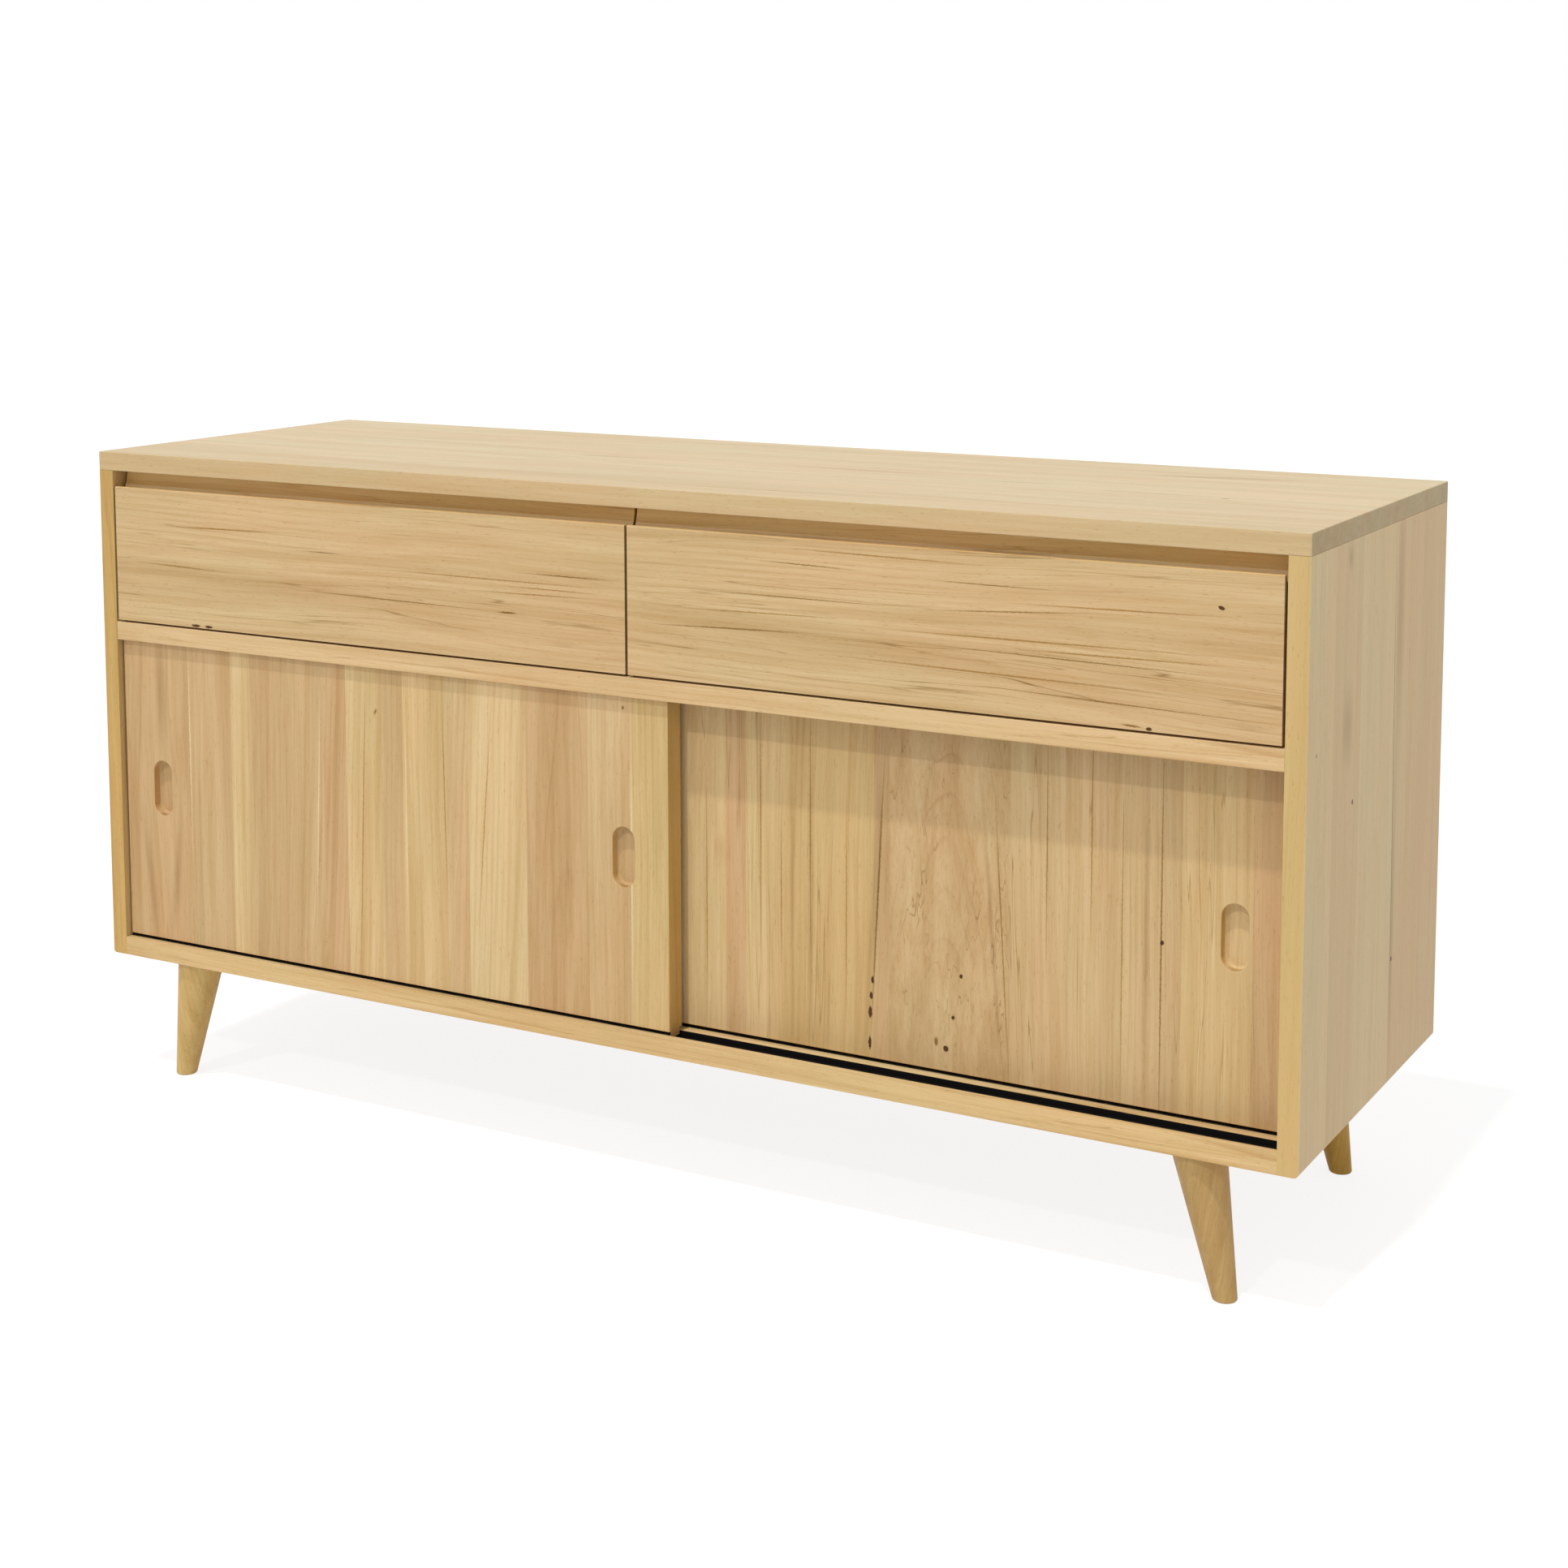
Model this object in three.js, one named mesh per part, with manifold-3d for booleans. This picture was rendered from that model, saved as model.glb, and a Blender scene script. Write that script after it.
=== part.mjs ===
// A low sideboard in solid pale hardwood. Two drawers with a finger pull routed along the top edge lie
// over two doors that slide past each other in grooves, and four turned legs splay towards the ends.
// Millimetres, +Z up. The origin is on the floor under the middle of the cabinet: +X runs to the right
// and the front faces -Y.
import * as THREE from "three";
import { mergeVertices } from "three/addons/utils/BufferGeometryUtils.js";
import Module from "manifold-3d";

const wasm = await Module();
wasm.setup();

// Carcass
const width = 1500;
const depth = 470;
const carcassHeight = 616;
const legHeight = 149;
const board = 22;
const drawerOpening = 182.5;
const cornerRadius = 2.5;
const sideFootRadius = 6;

// Plywood back, let into a rebate all round
const backThickness = 6;
const backInset = 2;
const backRebate = 8;
const backClearance = 0.5;

// Drawer fronts, flush with the carcass
const frontThickness = 28;
const frontEndGap = 3;
const frontMiddleGap = 3;
const frontLowerGap = 2.5;

// Finger pull along the top of a drawer front: a lip, a hollow behind it and a wall that leans back
const gripHeight = 19;
const gripUpperGap = 2.5;
const gripWall = 6.5;
const gripLean = 4.8;
const gripHollow = 9;
const lipThickness = 5;
const lipRadius = 1.5;
const hollowSweepShare = 0.83;
const wallCurveShares = { lean: 0.7, rise: 0.36 };

// Drawer boxes, dovetailed at the corners
const boxBoard = 12;
const boxRise = 14;
const boxHeadroom = 53.5;
const boxRearGap = 54;
const tailCount = 3;
const pinNarrow = 5;
const pinWide = 10;
const boxBottomThickness = 6;
const boxBottomRise = 10;
const boxGroove = 5;

// Steel runners: a fixed rail and the slide that it holds, both folded to a C
const runnerSpace = 12.7;
const runnerHeight = 36;
const runnerFrontInset = 3;
const runnerRearInset = 27;
const runnerRise = 25;
const runnerSheet = 1.4;
const railFlange = 9;
const slideFlange = 9.5;
const runnerPlay = 0.5;

// Sliding doors, each with a tongue in its own pair of grooves, and room over them to lift them out
const doorThickness = 26;
const doorSetback = 7.5;
const doorPitch = 34;
const doorOverlap = 93;
const doorEndGap = 2.5;
const doorLowerGap = 3.8;
const doorFrontLip = 2.5;
const doorRearLip = 5;
const liftRoom = 6.5;

// Plastic tracks that line the door grooves, and how deep a tongue may reach into them
const trackWall = 1;
const trackPlay = 0.4;
const lowerTrack = 6;
const upperTrack = 13.5;

// Hand recesses near both ends of a door
const recessWidth = 28;
const recessHeight = 67;
const recessDepth = 10.5;
const recessFillet = 4;
const recessInset = 57;
const recessLift = 6;

// Nylon glides let into the lower edge of a door
const glideLength = 40;
const glideThickness = 7;
const glideHeight = 8;
const glideProud = 1.7;
const glideRound = 3;
const glideInset = 90;

// Dividers, housed in the boards over and under them, and the shelves and shelf pins
const dividerSpace = 6;
const dividerHousing = 4;
const shelfThickness = 18;
const shelfEndGap = 1.5;
const shelfSetback = 10;
const pinRadius = 2.5;
const pinReach = 10;
const pinDepth = 8;
const pinFlat = 1;
const collarRadius = 4;
const collarThickness = 1.5;
const pinInset = 45;
const pinPitch = 32;
const pinRows = 5;

// Legs and the bolts that hold them
const legTopRadius = 27.9;
const legFootRadius = 12.6;
const legFootRound = 2.5;
const legSplay = THREE.MathUtils.degToRad(11.25);
const legEndInset = 112;
const frontLegInset = 33.5;
const rearLegInset = 63;
const boltRadius = 4;
const boltInLeg = 36;
const boltInBoard = 15;

// Clearance round a piece that is let into another, and the overrun of every cut
const seat = 0.3;
const overrun = 10;
const weldTolerance = 0.001;

// Facets
const legFacets = 48;
const boltFacets = 12;
const arcFacets = 6;
const filletFacets = 3;

// Places that follow from the sizes
const right = width / 2;
const front = -depth / 2;
const back = depth / 2;
const topUnderside = legHeight + carcassHeight - board;
const floorTop = legHeight + board;
const deckTop = topUnderside - drawerOpening;
const deckUnderside = deckTop - board;
const doorOpening = deckUnderside - floorTop;
const sideFace = right - board;
const dividerFace = board / 2;
const panelFront = back - backInset - backThickness;
const drawerDividerFront = front + frontThickness + dividerSpace;
const doorFaces = { front_door: front + doorSetback, rear_door: front + doorSetback + doorPitch };
const shelfFront = doorFaces.rear_door + doorThickness + dividerSpace;
const shelfLow = (floorTop + deckUnderside - shelfThickness) / 2;
const pinLevel = shelfLow - pinFlat;

// Sizes of a drawer and of a runner
const boxFront = frontThickness;
const boxBack = panelFront - front - boxRearGap;
const boxHalf = (sideFace - dividerFace) / 2 - runnerSpace;
const boxInside = boxHalf - boxBoard;
const boxHigh = drawerOpening - boxHeadroom;
const tailPitch = (boxHigh - boxRise) / tailCount;
const drawerMiddle = (sideFace + dividerFace) / 2;
const runnerFront = boxFront + runnerFrontInset;
const runnerLength = boxBack - runnerRearInset - runnerFront;
const runnerMiddle = runnerFront + runnerLength / 2;
const runnerLevel = boxRise + runnerRise + runnerHeight / 2;
const slideHeight = runnerHeight - 2 * (runnerSheet + runnerPlay);

// Sizes of a door
const doorWidth = sideFace - doorEndGap + doorOverlap / 2;
const doorMiddle = (sideFace - doorEndGap - doorOverlap / 2) / 2;
const tongueBack = doorThickness - doorRearLip;
const tongueMiddle = (doorFrontLip + tongueBack) / 2;
const tongueLow = seat + glideProud - lowerTrack;
const tongueHigh = doorOpening + upperTrack - liftRoom;
const doorTop = doorOpening - liftRoom;
const glideLow = seat - lowerTrack;

const ends = { left: -1, right: 1 };
const alongX = new THREE.Vector3(1, 0, 0);
const alongY = new THREE.Vector3(0, 1, 0);
const alongZ = new THREE.Vector3(0, 0, 1);

// Shapes

function block(low, high) {
  const geometry = new THREE.BoxGeometry(1, 1, 1);
  const corner = geometry.getAttribute("position");
  for (let i = 0; i < corner.count; i++) {
    const unit = [corner.getX(i), corner.getY(i), corner.getZ(i)];
    corner.setXYZ(i, ...unit.map((share, axis) => (share < 0 ? low[axis] : high[axis])));
  }
  return geometry;
}

function outline(points) {
  return new THREE.Shape(points.map(([across, up]) => new THREE.Vector2(across, up)));
}

function extruded(shape, length, bevel = {}) {
  return new THREE.ExtrudeGeometry(shape, {
    depth: length,
    bevelEnabled: false,
    curveSegments: arcFacets,
    ...bevel,
  });
}

// A section drawn in Y and Z, run along X.
function runAlongX(section, from, to) {
  const turn = new THREE.Matrix4().makeBasis(alongY, alongZ, alongX);
  return extruded(section, to - from).applyMatrix4(turn).translate(from, 0, 0);
}

// A section drawn in X and Z, run forwards from the back.
function runForwards(section, from, to, bevel) {
  const turn = new THREE.Matrix4().makeBasis(alongX, alongZ, alongY.clone().negate());
  return extruded(section, from - to, bevel).applyMatrix4(turn).translate(0, from, 0);
}

function turned(profile, facets) {
  const points = profile.map(([radius, height]) => new THREE.Vector2(radius, height));
  return new THREE.LatheGeometry(points, facets).rotateX(Math.PI / 2);
}

function rod(radius, low, high) {
  return turned([[0, low], [radius, low], [radius, high], [0, high]], boltFacets);
}

// Booleans

function solid(geometry) {
  const bare = new THREE.BufferGeometry();
  bare.setAttribute("position", geometry.getAttribute("position"));
  bare.setIndex(geometry.index);
  const welded = mergeVertices(bare, weldTolerance);
  return new wasm.Manifold(
    new wasm.Mesh({
      numProp: 3,
      vertProperties: welded.getAttribute("position").array,
      triVerts: Uint32Array.from(welded.index.array),
    }),
  );
}

function surface(made) {
  const mesh = made.getMesh();
  const geometry = new THREE.BufferGeometry();
  geometry.setAttribute("position", new THREE.BufferAttribute(mesh.vertProperties, mesh.numProp));
  return geometry.setIndex(new THREE.BufferAttribute(mesh.triVerts, 1));
}

function cut(geometry, tools) {
  return surface(tools.reduce((rest, tool) => rest.subtract(solid(tool)), solid(geometry)));
}

function shared(geometry, other) {
  return surface(solid(geometry).intersect(solid(other)));
}

// The same piece for the other end of the cabinet.
function mirrored(geometry) {
  const flipped = surface(solid(geometry)).scale(-1, 1, 1);
  const order = flipped.index.array;
  for (let i = 0; i < order.length; i += 3) {
    [order[i + 1], order[i + 2]] = [order[i + 2], order[i + 1]];
  }
  return flipped;
}

// Finishes and named pieces

const finishes = {
  top: { color: 0xdfc7a0, roughness: 0.62 },
  side: { color: 0xc3ab84, roughness: 0.64 },
  rail: { color: 0xd0b182, roughness: 0.62 },
  drawer: { color: 0xd3b383, roughness: 0.62 },
  door: { color: 0xcfae80, roughness: 0.62 },
  leg: { color: 0xbf9f66, roughness: 0.6 },
  inner: { color: 0xc9a973, roughness: 0.68 },
  plywood: { color: 0xc8ab7c, roughness: 0.72 },
  steel: { color: 0xb4b8bb, roughness: 0.35, metalness: 0.9 },
  nylon: { color: 0xe8e6df, roughness: 0.45 },
  track: { color: 0x1c1b1a, roughness: 0.6 },
};

function part(name, geometry, finish) {
  const material = new THREE.MeshStandardMaterial({ flatShading: true, ...finishes[finish] });
  const mesh = new THREE.Mesh(geometry, material);
  mesh.name = name;
  return mesh;
}

function placed(object, x, y, z, turn = 0) {
  object.position.set(x, y, z);
  object.rotation.z = turn;
  return object;
}

// Carcass

// The rebate for the back, where it crosses a board whose inner face lies at the given level.
function backRebateCut(low, high) {
  const reach = sideFace + backRebate;
  return block([-reach, panelFront, low], [reach, back + overrun, high]);
}

// The stopped housing for a divider that starts at the given depth, open at the back.
function housingCut(start, low, high) {
  const half = dividerFace + seat;
  return block([-half, start - seat, low], [half, panelFront + overrun, high]);
}

// The whole plan of the cabinet with its rounded corners, as a slab between two levels.
function planSlab(low, high) {
  const r = cornerRadius;
  const plan = new THREE.Shape();
  plan.absarc(right - r, back - r, r, 0, Math.PI / 2);
  plan.absarc(r - right, back - r, r, Math.PI / 2, Math.PI);
  plan.absarc(r - right, front + r, r, Math.PI, Math.PI * 1.5);
  plan.absarc(right - r, front + r, r, Math.PI * 1.5, Math.PI * 2);
  return extruded(plan, high - low).translate(0, 0, low);
}

function topPanel() {
  const slab = planSlab(topUnderside, topUnderside + board);
  const rebate = backRebateCut(topUnderside - overrun, topUnderside + backRebate);
  const housing = housingCut(drawerDividerFront, topUnderside - overrun, topUnderside + dividerHousing);
  return part("top_panel", cut(slab, [rebate, housing]), "top");
}

function bottomPanel() {
  const panel = block([-sideFace, front, legHeight], [sideFace, back, floorTop]);
  const rebate = backRebateCut(floorTop - backRebate, floorTop + overrun);
  const grooves = doorGrooves(doorFrontLip, floorTop - lowerTrack - trackWall, floorTop + overrun);
  const housing = housingCut(shelfFront, floorTop - dividerHousing, floorTop + overrun);
  const boltHoles = legPlaces().map(({ x, y }) =>
    rod(boltRadius + seat, -overrun, boltInBoard + seat).translate(x, y, legHeight),
  );
  return part("bottom_panel", cut(panel, [rebate, housing, ...grooves, ...boltHoles]), "rail");
}

function drawerDeck() {
  const panel = block([-sideFace, front, deckUnderside], [sideFace, panelFront, deckTop]);
  const tools = [
    ...doorGrooves(0, deckUnderside - overrun, deckUnderside + upperTrack + trackWall),
    housingCut(drawerDividerFront, deckTop - dividerHousing, deckTop + overrun),
    housingCut(shelfFront, deckUnderside - overrun, deckUnderside + dividerHousing),
  ];
  return part("drawer_deck", cut(panel, tools), "rail");
}

// The faces between which the tongue of a door runs. It starts a lip's thickness behind the door's face.
function trackFaces(doorFace, lip) {
  return [doorFace + lip - trackPlay, doorFace + tongueBack + trackPlay];
}

function doorGrooves(lip, low, high) {
  return Object.values(doorFaces).map((doorFace) => {
    const [near, far] = trackFaces(doorFace, lip);
    return block(
      [-sideFace - overrun, near - trackWall, low],
      [sideFace + overrun, far + trackWall, high],
    );
  });
}

// A track lines its groove: a channel whose floor lies at one level and whose walls end at another.
function track(name, faces, floor, mouth) {
  const [near, far] = faces;
  const outside = floor - Math.sign(mouth - floor) * trackWall;
  const section = outline([
    [near - trackWall, outside],
    [far + trackWall, outside],
    [far + trackWall, mouth],
    [far, mouth],
    [far, floor],
    [near, floor],
    [near, mouth],
    [near - trackWall, mouth],
  ]);
  return part(name, runAlongX(section, -sideFace, sideFace), "track");
}

function tracks() {
  return Object.entries(doorFaces).flatMap(([door, face]) => [
    track(`${door}_lower_track`, trackFaces(face, doorFrontLip), floorTop - lowerTrack, floorTop),
    track(`${door}_upper_track`, trackFaces(face, 0), deckUnderside + upperTrack, deckUnderside),
  ]);
}

function sidePanels() {
  const r = sideFootRadius;
  const section = new THREE.Shape();
  section.moveTo(sideFace, legHeight);
  section.lineTo(right - r, legHeight);
  section.absarc(right - r, legHeight + r, r, -Math.PI / 2, 0);
  section.lineTo(right, topUnderside);
  section.lineTo(sideFace, topUnderside);
  const blank = shared(runForwards(section, back, front), planSlab(legHeight, topUnderside));
  const rebate = backRebateCut(floorTop - backRebate, topUnderside + overrun);
  const panel = cut(blank, [rebate, ...pinHoles(sideFace, 1)]);
  return [part("right_side_panel", panel, "side"), part("left_side_panel", mirrored(panel), "side")];
}

// A divider between the boards whose faces lie at the given levels, let into both.
function divider(start, low, high) {
  return block(
    [-dividerFace, start, low - dividerHousing],
    [dividerFace, panelFront, high + dividerHousing],
  );
}

function drawerDivider() {
  return part("drawer_divider", divider(drawerDividerFront, deckTop, topUnderside), "inner");
}

function lowerDivider() {
  const panel = divider(shelfFront, floorTop, deckUnderside);
  const holes = [...pinHoles(dividerFace, -1), ...pinHoles(-dividerFace, 1)];
  return part("lower_divider", cut(panel, holes), "inner");
}

function backPanel() {
  const reach = sideFace + backRebate - backClearance;
  const low = floorTop - backRebate + backClearance;
  const high = topUnderside + backRebate - backClearance;
  const panel = block([-reach, panelFront, low], [reach, panelFront + backThickness, high]);
  return part("back_panel", panel, "plywood");
}

// Shelves and their pins

function pinPlaces() {
  const start = shelfFront + shelfSetback;
  return { front: start + pinInset, rear: panelFront - pinInset };
}

// Columns of holes bored into an upright from the given face, towards +X or -X.
function pinHoles(face, towards) {
  const hole = rod(pinRadius + seat, -overrun, pinDepth + seat).rotateY((towards * Math.PI) / 2);
  return Object.values(pinPlaces()).flatMap((y) =>
    Array.from({ length: pinRows }, (_, row) => {
      const lift = (row - (pinRows - 1) / 2) * pinPitch;
      return hole.clone().translate(face, y, pinLevel + lift);
    }),
  );
}

// A round stem and collar that reach towards +X, with a flat on which the shelf rests.
function pinGeometry() {
  const profile = [
    [0, -pinDepth],
    [pinRadius, -pinDepth],
    [pinRadius, 0],
    [collarRadius, 0],
    [collarRadius, collarThickness],
    [pinRadius, collarThickness],
    [pinRadius, pinReach],
    [0, pinReach],
  ];
  const wide = collarRadius + overrun;
  const flat = block([-seat, -wide, pinFlat], [pinReach + overrun, wide, wide]);
  return cut(turned(profile, boltFacets).rotateY(Math.PI / 2), [flat]);
}

function shelfAndPins(end) {
  const side = ends[end];
  const low = dividerFace + shelfEndGap;
  const high = sideFace - shelfEndGap;
  const [from, to] = [side * low, side * high].sort((a, b) => a - b);
  const near = shelfFront + shelfSetback;
  const shelf = block([from, near, shelfLow], [to, panelFront, shelfLow + shelfThickness]);
  const pins = Object.entries(pinPlaces()).flatMap(([place, y]) => [
    pinAt(`${end}_shelf_${place}_outer_pin`, side * sideFace, y, side),
    pinAt(`${end}_shelf_${place}_inner_pin`, side * dividerFace, y, -side),
  ]);
  return [part(`${end}_shelf`, shelf, "inner"), ...pins];
}

function pinAt(name, face, y, side) {
  return placed(part(name, pinGeometry(), "steel"), face, y, pinLevel, side > 0 ? Math.PI : 0);
}

// Legs

function legPlaces() {
  const rows = { front: front + frontLegInset, rear: back - rearLegInset };
  return Object.entries(rows).flatMap(([row, y]) =>
    Object.entries(ends).map(([end, side]) => ({
      name: `${row}_${end}_leg`,
      x: side * (right - legEndInset),
      y,
      turn: side > 0 ? 0 : Math.PI,
    })),
  );
}

// A tapered leg whose level sections are round. It hangs from its top and leans out towards +X.
function legGeometry() {
  const round = legFootRound;
  const edge = new THREE.Path();
  edge.moveTo(0, -legHeight);
  edge.lineTo(legFootRadius - round, -legHeight);
  edge.absarc(legFootRadius - round, round - legHeight, round, -Math.PI / 2, 0);
  edge.lineTo(legTopRadius, 0);
  edge.lineTo(0, 0);
  const upright = turned(edge.getPoints(filletFacets).map(({ x, y }) => [x, y]), legFacets);
  const lean = new THREE.Matrix4().set(1, 0, -Math.tan(legSplay), 0, 0, 1, 0, 0, 0, 0, 1, 0, 0, 0, 0, 1);
  const boltHole = rod(boltRadius + seat, -boltInLeg - seat, overrun);
  return cut(upright.applyMatrix4(lean), [boltHole]);
}

function legsAndBolts() {
  return legPlaces().flatMap(({ name, x, y, turn }) => [
    placed(part(name, legGeometry(), "leg"), x, y, legHeight, turn),
    placed(part(`${name}_bolt`, rod(boltRadius, -boltInLeg, boltInBoard), "steel"), x, y, legHeight),
  ]);
}

// Runners

// A C-shaped channel. Its web lies on the plane X = 0 and its flanges reach towards -X.
function channel(height, flange) {
  const half = height / 2;
  const section = outline([
    [0, -half],
    [0, half],
    [-flange, half],
    [-flange, half - runnerSheet],
    [-runnerSheet, half - runnerSheet],
    [-runnerSheet, runnerSheet - half],
    [-flange, runnerSheet - half],
    [-flange, -half],
  ]);
  return runForwards(section, runnerLength / 2, -runnerLength / 2);
}

function rails(end) {
  const side = ends[end];
  const faces = { outer: side * sideFace, inner: side * dividerFace };
  return Object.entries(faces).map(([place, face]) => {
    const opensRight = (place === "inner") === side > 0;
    const rail = part(`${end}_drawer_${place}_rail`, channel(runnerHeight, railFlange), "steel");
    return placed(rail, face, front + runnerMiddle, deckTop + runnerLevel, opensRight ? Math.PI : 0);
  });
}

function slides(end) {
  const side = ends[end];
  const faces = { outer: side * boxHalf, inner: -side * boxHalf };
  return Object.entries(faces).map(([place, face]) => {
    const slide = part(`${end}_drawer_${place}_slide`, channel(slideHeight, slideFlange), "steel");
    return placed(slide, face, runnerMiddle, runnerLevel, face > 0 ? Math.PI : 0);
  });
}

// Drawers. A drawer's origin is on the deck, at the front plane, in the middle of its box.

function drawerFront(end) {
  const side = ends[end];
  const lipTop = drawerOpening - gripHeight;
  const wallTop = drawerOpening - gripUpperGap;
  const wallFoot = frontThickness - gripWall - gripLean;
  const hollowHalf = (wallFoot - lipThickness) / 2;
  const sweepEnd = Math.PI * (1 + hollowSweepShare);
  const section = new THREE.Shape();
  section.moveTo(0, frontLowerGap);
  section.lineTo(0, lipTop - lipRadius);
  section.absarc(lipRadius, lipTop - lipRadius, lipRadius, Math.PI, Math.PI / 2, true);
  section.absellipse(lipThickness + hollowHalf, lipTop, hollowHalf, gripHollow, Math.PI, sweepEnd);
  const foot = section.currentPoint.clone();
  const head = new THREE.Vector2(frontThickness - gripWall, wallTop);
  const bend = new THREE.Vector2(
    THREE.MathUtils.lerp(foot.x, head.x, wallCurveShares.lean),
    THREE.MathUtils.lerp(foot.y, head.y, wallCurveShares.rise),
  );
  section.quadraticCurveTo(bend.x, bend.y, head.x, head.y);
  section.lineTo(frontThickness, wallTop);
  section.lineTo(frontThickness, frontLowerGap);
  const reach = [frontMiddleGap / 2 - drawerMiddle, sideFace - frontEndGap - drawerMiddle];
  const [from, to] = reach.map((x) => side * x).sort((a, b) => a - b);
  return part(`${end}_drawer_front`, runAlongX(section, from, to), "drawer");
}

// A slot seen from the end of the box: narrow at the outer face and wide at the inner one, at each of
// the given levels.
function dovetail(outer, inner, level, outerHalf, innerHalf) {
  const outwards = Math.sign(outer - inner) * overrun;
  return outline([
    [outer + outwards, level - outerHalf],
    [outer, level - outerHalf],
    [inner, level - innerHalf],
    [inner, level + innerHalf],
    [outer, level + outerHalf],
    [outer + outwards, level + outerHalf],
  ]);
}

// The groove for the bottom, as one slab that is cut out of all four boards.
function bottomGroove() {
  const reach = boxInside + boxGroove;
  const low = boxRise + boxBottomRise;
  return block(
    [-reach, boxFront + boxBoard - boxGroove, low],
    [reach, boxBack - boxBoard + boxGroove, low + boxBottomThickness + seat],
  );
}

// A side with sockets for the pins at both ends, and tails between them.
function boxSide(name, from, to) {
  const sockets = [];
  for (let pin = 0; pin <= tailCount; pin++) {
    const level = boxRise + pin * tailPitch;
    const halves = [pinNarrow / 2 + seat, pinWide / 2 + seat];
    sockets.push(
      dovetail(boxFront, boxFront + boxBoard + seat, level, ...halves),
      dovetail(boxBack, boxBack - boxBoard - seat, level, ...halves),
    );
  }
  const tools = sockets.map((socket) => runAlongX(socket, from - overrun, to + overrun));
  const side = block([from, boxFront, boxRise], [to, boxBack, boxHigh]);
  return part(name, cut(side, [...tools, bottomGroove()]), "inner");
}

// A front or back with pins at both ends, which pass through the sides.
function boxCross(name, outer, inner) {
  const tools = [];
  for (let tail = 0; tail < tailCount; tail++) {
    const level = boxRise + (tail + 1 / 2) * tailPitch;
    const past = inner + Math.sign(inner - outer) * overrun;
    const halves = [(tailPitch - pinNarrow) / 2, (tailPitch - pinWide) / 2];
    const socket = dovetail(outer, inner, level, ...halves);
    tools.push(
      runAlongX(socket, boxInside, boxHalf + overrun),
      runAlongX(socket, -boxHalf - overrun, -boxInside),
    );
    const [near, far] = [inner, past].sort((a, b) => a - b);
    for (const [from, to] of [[boxInside, boxHalf + overrun], [-boxHalf - overrun, -boxInside]]) {
      tools.push(block([from, near, level - halves[1]], [to, far, level + halves[1]]));
    }
  }
  const [low, high] = [outer, inner].sort((a, b) => a - b);
  const cross = block([-boxHalf, low, boxRise], [boxHalf, high, boxHigh]);
  const inside = block([-boxInside, low, boxRise], [boxInside, high, boxHigh]);
  return part(name, cut(cross, [...tools, shared(bottomGroove(), inside)]), "inner");
}

function boxBottom(name) {
  const reach = boxInside + boxGroove - seat;
  const low = boxRise + boxBottomRise;
  const panel = block(
    [-reach, boxFront + boxBoard - boxGroove + seat, low],
    [reach, boxBack - boxBoard + boxGroove - seat, low + boxBottomThickness],
  );
  return part(name, panel, "plywood");
}

function drawer(end) {
  const side = ends[end];
  const name = `${end}_drawer`;
  const group = new THREE.Group();
  group.add(
    drawerFront(end),
    boxCross(`${name}_box_front`, boxFront, boxFront + boxBoard),
    boxCross(`${name}_box_back`, boxBack, boxBack - boxBoard),
    boxSide(`${name}_left_side`, -boxHalf, -boxInside),
    boxSide(`${name}_right_side`, boxInside, boxHalf),
    boxBottom(`${name}_bottom`),
    ...slides(end),
  );
  return placed(group, side * drawerMiddle, front, deckTop);
}

// Doors. A door's origin is level with the cabinet's floor, on its front face and in its middle.

function doorPanel(name) {
  const section = outline([
    [0, doorLowerGap],
    [doorFrontLip, doorLowerGap],
    [doorFrontLip, tongueLow],
    [tongueBack, tongueLow],
    [tongueBack, doorLowerGap],
    [doorThickness, doorLowerGap],
    [doorThickness, doorTop],
    [tongueBack, doorTop],
    [tongueBack, tongueHigh],
    [0, tongueHigh],
  ]);
  const slab = runAlongX(section, -doorWidth / 2, doorWidth / 2);
  const level = doorOpening / 2 + recessLift;
  const tools = Object.values(ends).flatMap((side) => [
    recess().translate(side * (doorWidth / 2 - recessInset), 0, level),
    glideSlot().translate(side * (doorWidth / 2 - glideInset), 0, 0),
  ]);
  return part(`${name}_panel`, cut(slab, tools), "door");
}

// A hand recess with round ends and a rounded edge round its floor.
function recess() {
  const radius = recessWidth / 2;
  const reach = recessHeight / 2 - radius;
  const slot = new THREE.Shape();
  slot.absarc(0, reach, radius, 0, Math.PI);
  slot.absarc(0, -reach, radius, Math.PI, Math.PI * 2);
  const rounding = {
    bevelEnabled: true,
    bevelThickness: recessFillet,
    bevelSize: recessFillet,
    bevelOffset: -recessFillet,
    bevelSegments: filletFacets,
  };
  return runForwards(slot, recessDepth - recessFillet, -overrun, rounding);
}

function glideSlot() {
  const half = { length: glideLength / 2 + seat, thickness: glideThickness / 2 + seat };
  return block(
    [-half.length, tongueMiddle - half.thickness, tongueLow - overrun],
    [half.length, tongueMiddle + half.thickness, glideLow + glideHeight],
  );
}

// A skid whose lower corners are rounded.
function glide(name) {
  const half = glideLength / 2;
  const high = glideLow + glideHeight;
  const section = new THREE.Shape();
  section.moveTo(half, high);
  section.lineTo(-half, high);
  section.absarc(glideRound - half, glideLow + glideRound, glideRound, Math.PI, Math.PI * 1.5);
  section.absarc(half - glideRound, glideLow + glideRound, glideRound, Math.PI * 1.5, Math.PI * 2);
  const near = tongueMiddle - glideThickness / 2;
  return part(name, runForwards(section, near + glideThickness, near), "nylon");
}

function door(name, middle, face) {
  const group = new THREE.Group();
  group.add(doorPanel(name));
  for (const [end, side] of Object.entries(ends)) {
    group.add(placed(glide(`${name}_${end}_glide`), side * (doorWidth / 2 - glideInset), 0, 0));
  }
  return placed(group, middle, face, floorTop);
}

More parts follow.
